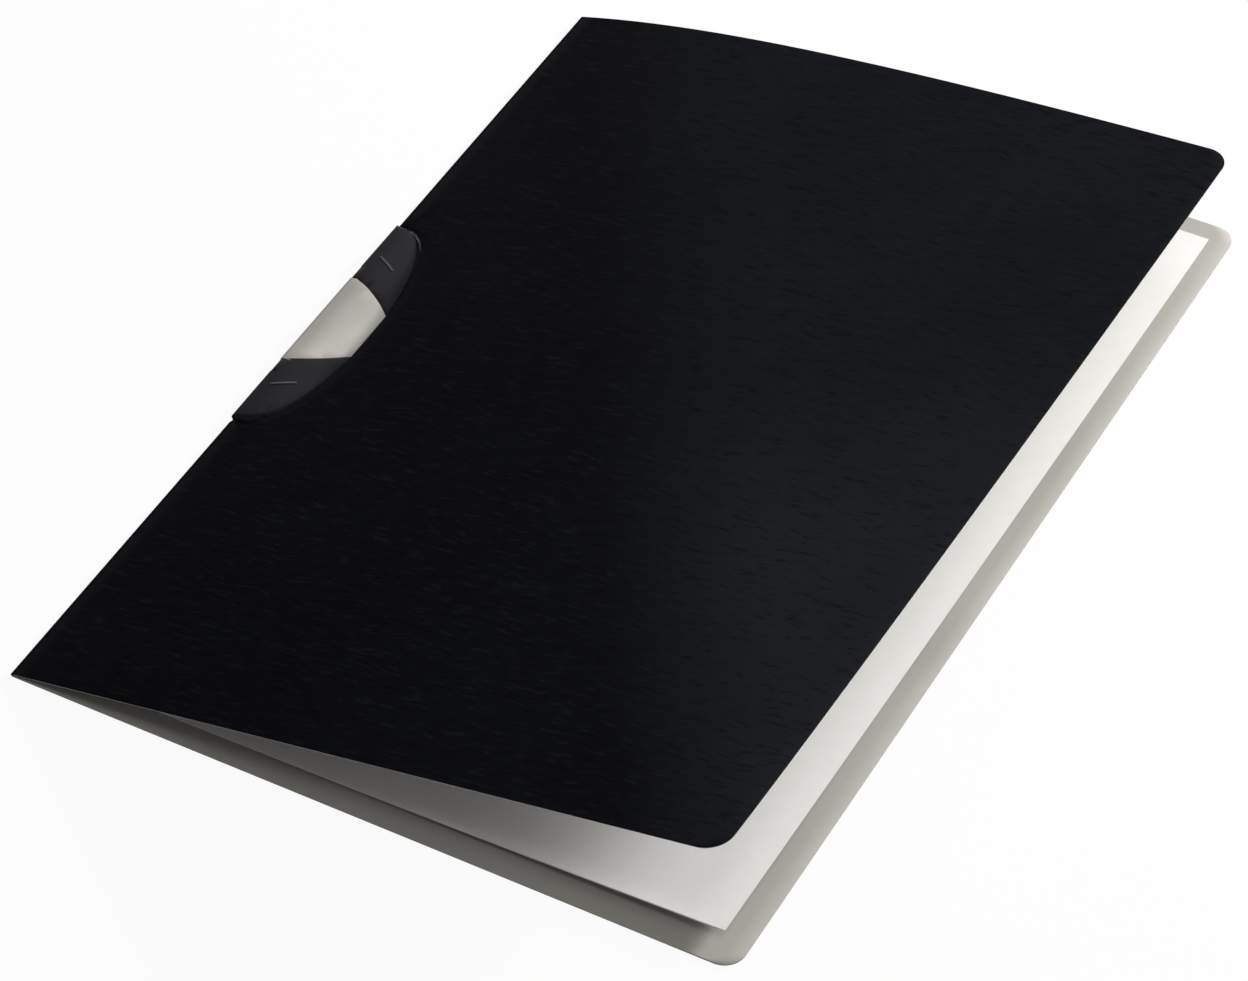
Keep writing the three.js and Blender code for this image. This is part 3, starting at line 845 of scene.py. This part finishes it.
run_tree(front_piece, spring_tree(), {
    "Near Angle": NEAR_ANGLE, "Far Fold Angle": FAR_FOLD_ANGLE, "Far Edge Angle": FAR_EDGE_ANGLE,
    "Flattening Length": FLATTENING_LENGTH, "Warp Exponent": WARP_EXPONENT,
    "Cover Height": COVER_HEIGHT, "Inside Radius": FOLD_INSIDE_RADIUS,
    "Hinge X": COVER_HINGE.x, "Hinge Z": COVER_HINGE.z,
    "Outside": COVER_OUTSIDE, "Inside": COVER_INSIDE,
})
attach(front_piece, "front")
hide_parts("front_cover")
print("front cover stands", round(max(v.co.z for v in front_piece.data.vertices) / MM, 2), "mm high")

# %% [markdown]
# ## Laying the back cover down
# The back cover is the other half of the same sheet, flat on the table with its inside up. Its blank
# is the mirror image of the front's, and turning it over about the long side mirrors it without
# turning the faces inside out.

# %% Back cover
def lay_back_cover(piece):
    inner_face = COVER_HINGE.z - FOLD_INSIDE_RADIUS
    for vertex in piece.data.vertices:
        distance, along, height = vertex.co
        vertex.co = (COVER_HINGE.x + distance, -along, inner_face - height)
    piece.data.update()
    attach(piece, "back")
    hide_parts("back_cover")


lay_back_cover(back_piece)
print("back cover is", round(max(v.co.z for v in back_piece.data.vertices) / MM, 2), "mm high")

# %% [markdown]
# ## The fold
# Between the covers the sheet turns through a tight half circle. On the real folder this is where the
# plastic bends each time that the cover is opened. The strip is made here in its resting shape: its
# lower end slips into the back cover and its upper end into the front one. It is swept by formula, row
# by row, because each row has to meet the front cover at that row's slope.

# %% Fold strips
FOLD_STEPS = 14
STRIP_FLAT = 1.0 * MM
STRIP_TUCK = 0.04 * MM
STRIP_ROW_SPACING = 5.0 * MM
STRIP_CREASE_ANGLE = math.radians(40)


def front_slope(y):
    warp = (y / COVER_HEIGHT + 0.5) ** WARP_EXPONENT
    return NEAR_ANGLE + (FAR_FOLD_ANGLE - NEAR_ANGLE) * warp


def fold_path(y, radius, tuck):
    """The strip's section on one side, whose two flat ends slip a little way into the skins."""
    slope = front_slope(y)
    points = [(STRIP_FLAT, -radius - tuck)]
    for step in range(FOLD_STEPS + 1):
        turn = -math.pi / 2 - (math.pi - slope) * step / FOLD_STEPS
        points.append((radius * math.cos(turn), radius * math.sin(turn)))
    points.append(((radius + tuck) * math.cos(turn) + STRIP_FLAT * math.cos(slope),
                   (radius + tuck) * math.sin(turn) + STRIP_FLAT * math.sin(slope)))
    return [Vector((COVER_HINGE.x + x, y, COVER_HINGE.z + z)) for x, z in points]


def make_fold_strip(name, y_start, y_end):
    count = math.ceil((y_end - y_start) / STRIP_ROW_SPACING)
    mesh = bmesh.new()
    sections = []
    for row in range(count + 1):
        y = y_start + (y_end - y_start) * row / count
        layers = [fold_path(y, FOLD_RADIUS, -STRIP_TUCK), fold_path(y, FOLD_INSIDE_RADIUS, STRIP_TUCK)]
        sections.append([[mesh.verts.new(point) for point in layer] for layer in layers])
    steps = len(sections[0][0])

    def wall(corners, side):
        face = mesh.faces.new(corners)
        face.material_index = side
        face.smooth = True

    for low, high in zip(sections, sections[1:]):
        for k in range(steps - 1):
            wall((low[0][k], low[0][k + 1], high[0][k + 1], high[0][k]), OUTSIDE)
            wall((low[1][k], high[1][k], high[1][k + 1], low[1][k + 1]), INSIDE)
        for k, turned in ((0, False), (steps - 1, True)):
            corners = (low[0][k], high[0][k], high[1][k], low[1][k])
            wall(corners[::-1] if turned else corners, INSIDE)
    for section, turned in ((sections[0], True), (sections[-1], False)):
        for k in range(steps - 1):
            corners = (section[0][k], section[0][k + 1], section[1][k + 1], section[1][k])
            wall(corners[::-1] if turned else corners, OUTSIDE)
    bmesh.ops.recalc_face_normals(mesh, faces=mesh.faces)
    mark_creases(mesh, STRIP_CREASE_ANGLE)
    strip = finish_mesh(mesh, name, (COVER_OUTSIDE, COVER_INSIDE))
    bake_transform(strip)
    return strip


near_strip = make_fold_strip("fold_near", -COVER_HEIGHT / 2, -WINDOW_HALF_LENGTH)
far_strip = make_fold_strip("fold_far", WINDOW_HALF_LENGTH, COVER_HEIGHT / 2)
print("fold strips:", len(near_strip.data.polygons) + len(far_strip.data.polygons), "faces")

# %% [markdown]
# ## The sheets
# A stack of paper is the same leaf again and again, each one a little out of line with the last. That
# is what Geometry Nodes are for: one flat leaf is instanced on a short column of points, each copy is
# shifted at random by part of a millimetre, and after the copies are made real the same rule lifts
# them all at the near right corner, the upper ones a little more, and raises them where they lie on
# the clip's base. The seed is fixed, so the stack is the same every time.

# %% Stack of leaves
LEAF_COUNT = 3
LEAF_THICKNESS = 0.085 * MM
LEAF_SHIFT = 0.25 * MM
CORNER_LIFT = 4.6 * MM
LIFT_ACROSS_EXPONENT = 2.1
LIFT_ALONG_EXPONENT = 1.3
STACK_STEP_UP = 0.3 * MM
STACK_STEP_MARGIN = 2.5 * MM
STACK_RAMP = 24.0 * MM
LEAF_PITCH = 0.1 * MM
LEAF_FAN = 0.01
LIFT_BELOW_TOP = 0.98
LEAF_COLUMNS, LEAF_ROWS = 60, 80
STACK_SEED = 7
stack_low, stack_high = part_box("sheets")


def make_leaf(name):
    mesh = bmesh.new()
    middle = (stack_low + stack_high) / 2
    place = Matrix.Translation((middle.x, middle.y, stack_low.z))
    scale = Matrix.Diagonal((stack_high.x - stack_low.x - 2 * LEAF_SHIFT,
                             stack_high.y - stack_low.y - 2 * LEAF_SHIFT, 1.0, 1.0))
    bmesh.ops.create_grid(mesh, x_segments=LEAF_COLUMNS, y_segments=LEAF_ROWS, size=0.5,
                          matrix=place @ scale)
    shell = bmesh.ops.extrude_face_region(mesh, geom=mesh.faces[:])
    lifted = [item for item in shell["geom"] if isinstance(item, bmesh.types.BMVert)]
    bmesh.ops.translate(mesh, verts=lifted, vec=(0, 0, LEAF_THICKNESS))
    bmesh.ops.recalc_face_normals(mesh, faces=mesh.faces)
    return finish_mesh(mesh, name)


def stack_tree():
    numbers = ["Pitch", "Shift", "Corner Lift", "Fan"]
    tree, entry, leave = geometry_tree("stack_of_leaves", [
        ("Leaves", "NodeSocketInt"), ("Seed", "NodeSocketInt"),
        *((label, FLOAT) for label in numbers), ("Paper", "NodeSocketMaterial"),
    ])
    size = {label: Quantity(tree, entry.outputs[label]) for label in numbers}
    column = add_node(tree, "GeometryNodeMeshLine", mode="OFFSET")
    tree.links.new(entry.outputs["Leaves"], column.inputs["Count"])
    rise = add_node(tree, "ShaderNodeCombineXYZ")
    feed(tree, rise.inputs["Z"], size["Pitch"])
    tree.links.new(rise.outputs[0], column.inputs["Offset"])
    copies = add_node(tree, "GeometryNodeInstanceOnPoints")
    tree.links.new(column.outputs[0], copies.inputs["Points"])
    tree.links.new(entry.outputs["Geometry"], copies.inputs["Instance"])
    jitter = add_node(tree, "FunctionNodeRandomValue", data_type="FLOAT_VECTOR")
    tree.links.new(entry.outputs["Seed"], jitter.inputs["Seed"])
    reach = add_node(tree, "ShaderNodeCombineXYZ")
    feed(tree, reach.inputs["X"], size["Shift"])
    feed(tree, reach.inputs["Y"], size["Shift"])
    tree.links.new(reach.outputs[0], jitter.inputs["Max"])
    back = add_node(tree, "ShaderNodeVectorMath", operation="SCALE")
    tree.links.new(reach.outputs[0], back.inputs[0])
    back.inputs["Scale"].default_value = -1.0
    tree.links.new(back.outputs[0], jitter.inputs["Min"])
    move = add_node(tree, "GeometryNodeTranslateInstances")
    tree.links.new(copies.outputs[0], move.inputs["Instances"])
    tree.links.new(jitter.outputs[0], move.inputs["Translation"])
    rank = add_node(tree, "GeometryNodeStoreNamedAttribute", data_type="FLOAT", domain="INSTANCE")
    tree.links.new(move.outputs[0], rank.inputs["Geometry"])
    rank.inputs["Name"].default_value = "rank"
    tree.links.new(add_node(tree, "GeometryNodeInputIndex").outputs[0], rank.inputs["Value"])
    realize = add_node(tree, "GeometryNodeRealizeInstances")
    tree.links.new(rank.outputs[0], realize.inputs[0])

    parts = add_node(tree, "ShaderNodeSeparateXYZ")
    tree.links.new(add_node(tree, "GeometryNodeInputPosition").outputs[0], parts.inputs[0])
    x, y = Quantity(tree, parts.outputs["X"]), Quantity(tree, parts.outputs["Y"])
    across = ((x - stack_low.x) / (stack_high.x - stack_low.x)).math("MAXIMUM", 0.0)
    along = ((y - stack_low.y) / (stack_high.y - stack_low.y)).math("MAXIMUM", 0.0).math("MINIMUM", 1.0)
    read_rank = add_node(tree, "GeometryNodeInputNamedAttribute", data_type="FLOAT")
    read_rank.inputs["Name"].default_value = "rank"
    fan = Quantity(tree, read_rank.outputs[0]) * size["Fan"] + 1.0
    corner = across ** LIFT_ACROSS_EXPONENT * (along * -1.0 + 1.0) ** LIFT_ALONG_EXPONENT

    def falls_past(value, edge):
        start = edge + STACK_STEP_MARGIN
        return remap(tree, value, start, start + STACK_RAMP, 1.0, 0.0)

    over_base = (falls_past(x, FOLD_LINE + WINDOW_DEPTH)
                 * falls_past(y.math("ABSOLUTE"), WINDOW_HALF_LENGTH))
    offset = add_node(tree, "ShaderNodeCombineXYZ")
    feed(tree, offset.inputs["Z"], corner * fan * size["Corner Lift"] + over_base * STACK_STEP_UP)
    lift = add_node(tree, "GeometryNodeSetPosition")
    tree.links.new(realize.outputs[0], lift.inputs["Geometry"])
    tree.links.new(offset.outputs[0], lift.inputs["Offset"])
    paint = add_node(tree, "GeometryNodeSetMaterial")
    tree.links.new(lift.outputs[0], paint.inputs["Geometry"])
    tree.links.new(entry.outputs["Paper"], paint.inputs["Material"])
    tree.links.new(paint.outputs[0], leave.inputs[0])
    return tree


leaves = run_tree(make_leaf("paper_leaves"), stack_tree(), {
    "Leaves": LEAF_COUNT, "Seed": STACK_SEED, "Pitch": LEAF_PITCH, "Shift": LEAF_SHIFT,
    "Corner Lift": CORNER_LIFT * LIFT_BELOW_TOP, "Fan": LEAF_FAN, "Paper": PAPER,
})
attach(leaves, "back")
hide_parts("sheets")
print("stack:", LEAF_COUNT, "leaves,", len(leaves.data.polygons), "faces")

# %% [markdown]
# ## The clip
# The clip's pieces have the right plan as solids, but their faces are as flat and their edges as
# sharp as the drawing's. A moulded wing is crowned: it falls away softly towards the fold and towards
# its rim, and every edge is round. Each piece is copied and its loose triangles are joined into clean
# faces. A bevel rounds the edges that can be seen, cuts across the copy give it points to bend at,
# and a crown rule lowers them. The wing's two ends also reach a little further, close to the
# window's edge. The cap and the jaw share one rule, so the cap stays proud of the jaw by
# the same small step everywhere.

# %% Crowned and rounded copies of the clip's solids
CROWN_FOLD_START = 8.5 * MM
CROWN_FOLD_DROP = 0.8 * MM
CROWN_RIM_START = 12.0 * MM
CROWN_RIM_DROP = 0.8 * MM
CROWN_END_START = 26.0 * MM
CROWN_END_DROP = 0.5 * MM
CROWN_CUT_SPACING = 1.1 * MM
CROWN_CUT_SPACING_ALONG = 4 * CROWN_CUT_SPACING
RIB_FOLD_DISTANCE = 6.8 * MM
RIB_OFFSET = 28.0 * MM
RIB_LENGTH = 7.5 * MM
RIB_WIDTH = 0.7 * MM
RIB_ANGLE = math.radians(29)
RIB_MARGIN = 0.02 * MM
END_REACH_START = 20.0 * MM
END_REACH_ACROSS = 8.0 * MM
FAR_END_REACH = Vector((0.5, 0.9, 0.0)) * MM
NEAR_END_REACH = Vector((0.2, -0.6, 0.0)) * MM
MERGE_DISTANCE = 0.004 * MM
FLAT_ANGLE = math.radians(0.5)
SHARP_ANGLE = math.radians(28)
CLIP_CREASE_ANGLE = math.radians(35)
UPPER_SHARE = 0.55
BEVEL_SEGMENTS = 2
_, jaw_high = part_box("clip_jaw")


def crown_drop(point):
    """How far the crowned wing lies under the flat one at a place."""
    across = point.x - FOLD_LINE
    hinge_reach = CLIP_HINGE.x - FOLD_LINE
    to_fold = max(0.0, CROWN_FOLD_START - across) / (CROWN_FOLD_START - hinge_reach)
    to_rim = max(0.0, across - CROWN_RIM_START) / (jaw_high.x - FOLD_LINE - CROWN_RIM_START)
    to_end = max(0.0, abs(point.y) - CROWN_END_START) / (jaw_high.y - CROWN_END_START)
    drop = (CROWN_FOLD_DROP * min(1.0, to_fold) ** 2 + CROWN_RIM_DROP * to_rim ** 2
            + CROWN_END_DROP * to_end ** 2)
    height = (point.z - CLIP_HINGE.z) / (jaw_high.z - CLIP_HINGE.z)
    return drop * min(1.0, max(0.0, height))


def end_reach(point):
    """How far a place on one of the wing's ends moves towards the window's edge."""
    towards_end = max(0.0, abs(point.y) - END_REACH_START) / (jaw_high.y - END_REACH_START)
    shift = (FAR_END_REACH if point.y > 0 else NEAR_END_REACH) * towards_end
    shift.x *= min(1.0, (point.x - FOLD_LINE) / END_REACH_ACROSS)
    return shift


def cut_across(mesh, axis, start, end, spacing):
    count = math.floor((end - start) / spacing)
    for i in range(1, count + 1):
        place = Vector((0, 0, 0))
        place[axis] = start + i * spacing
        normal = Vector((0, 0, 0))
        normal[axis] = 1.0
        geometry = mesh.verts[:] + mesh.edges[:] + mesh.faces[:]
        bmesh.ops.bisect_plane(mesh, geom=geometry, dist=TINY, plane_co=place, plane_no=normal)


def on_rib(point):
    """Whether a place lies on one of the two ribs, seen from above."""
    side = math.copysign(1.0, point.y)
    from_middle = Vector((point.x - FOLD_LINE - RIB_FOLD_DISTANCE, point.y - side * RIB_OFFSET, 0.0))
    from_middle.rotate(Matrix.Rotation(side * RIB_ANGLE, 3, "Z"))
    return (abs(from_middle.x) < RIB_LENGTH / 2 + RIB_MARGIN
            and abs(from_middle.y) < RIB_WIDTH / 2 + RIB_MARGIN)


def moulded_copy(node, body, materials, rounding, crowned=True):
    data = frame["nodes"][node].data.copy()
    data.name = node + "_moulding"
    mesh = bmesh.new()
    mesh.from_mesh(data)
    bmesh.ops.remove_doubles(mesh, verts=mesh.verts, dist=MERGE_DISTANCE)
    bmesh.ops.dissolve_limit(mesh, angle_limit=FLAT_ANGLE, verts=mesh.verts, edges=mesh.edges)
    low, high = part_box(node)
    upper = low.z + UPPER_SHARE * (high.z - low.z)
    seen_edges = [
        edge for edge in mesh.edges
        if edge.is_manifold and edge.calc_face_angle_signed(0.0) > SHARP_ANGLE
        and min(vertex.co.z for vertex in edge.verts) > upper
    ]
    bmesh.ops.bevel(mesh, geom=seen_edges, offset=rounding, offset_type="OFFSET",
                    segments=BEVEL_SEGMENTS, profile=0.5, affect="EDGES", clamp_overlap=True)
    # The rib tops take the second finish, a painted highlight.
    if len(materials) > 1:
        for face in mesh.faces:
            on_top = face.calc_center_median().z > upper
            face.material_index = int(on_top and all(on_rib(vertex.co) for vertex in face.verts))
    if crowned:
        cut_across(mesh, 0, CLIP_HINGE.x, high.x, CROWN_CUT_SPACING)
        cut_across(mesh, 1, low.y, high.y, CROWN_CUT_SPACING_ALONG)
        for vertex in mesh.verts:
            vertex.co.z -= crown_drop(vertex.co)
            vertex.co += end_reach(vertex.co)
    bmesh.ops.triangulate(mesh, faces=[face for face in mesh.faces if len(face.verts) > 4])
    mark_creases(mesh, CLIP_CREASE_ANGLE)
    for face in mesh.faces:
        face.smooth = True
    data.materials.clear()
    for finish_material in materials:
        data.materials.append(finish_material)
    mesh.to_mesh(data)
    mesh.free()
    piece = add_object(node + "_moulding", data)
    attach(piece, body)
    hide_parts(node)
    print(piece.name, "has", len(data.polygons), "faces and", len(seen_edges), "rounded edges")
    return piece


moulded_copy("clip_jaw", "clip", (DARK_PLASTIC, RIB_HIGHLIGHT_PLASTIC), 0.2 * MM)
moulded_copy("clip_cap", "clip", (SILVER,), 0.15 * MM)
moulded_copy("clip_base", "back", (DARK_PLASTIC,), 0.1 * MM, crowned=False)
pin = frame["nodes"]["hinge_pin"]
pin.data.materials.clear()
pin.data.materials.append(STEEL)

# %% [markdown]
# ## Colour management
# The picture is shown in the Standard transform, in which a colour renders as it is written.

# %% Finish
bpy.context.scene.view_settings.view_transform = "Standard"
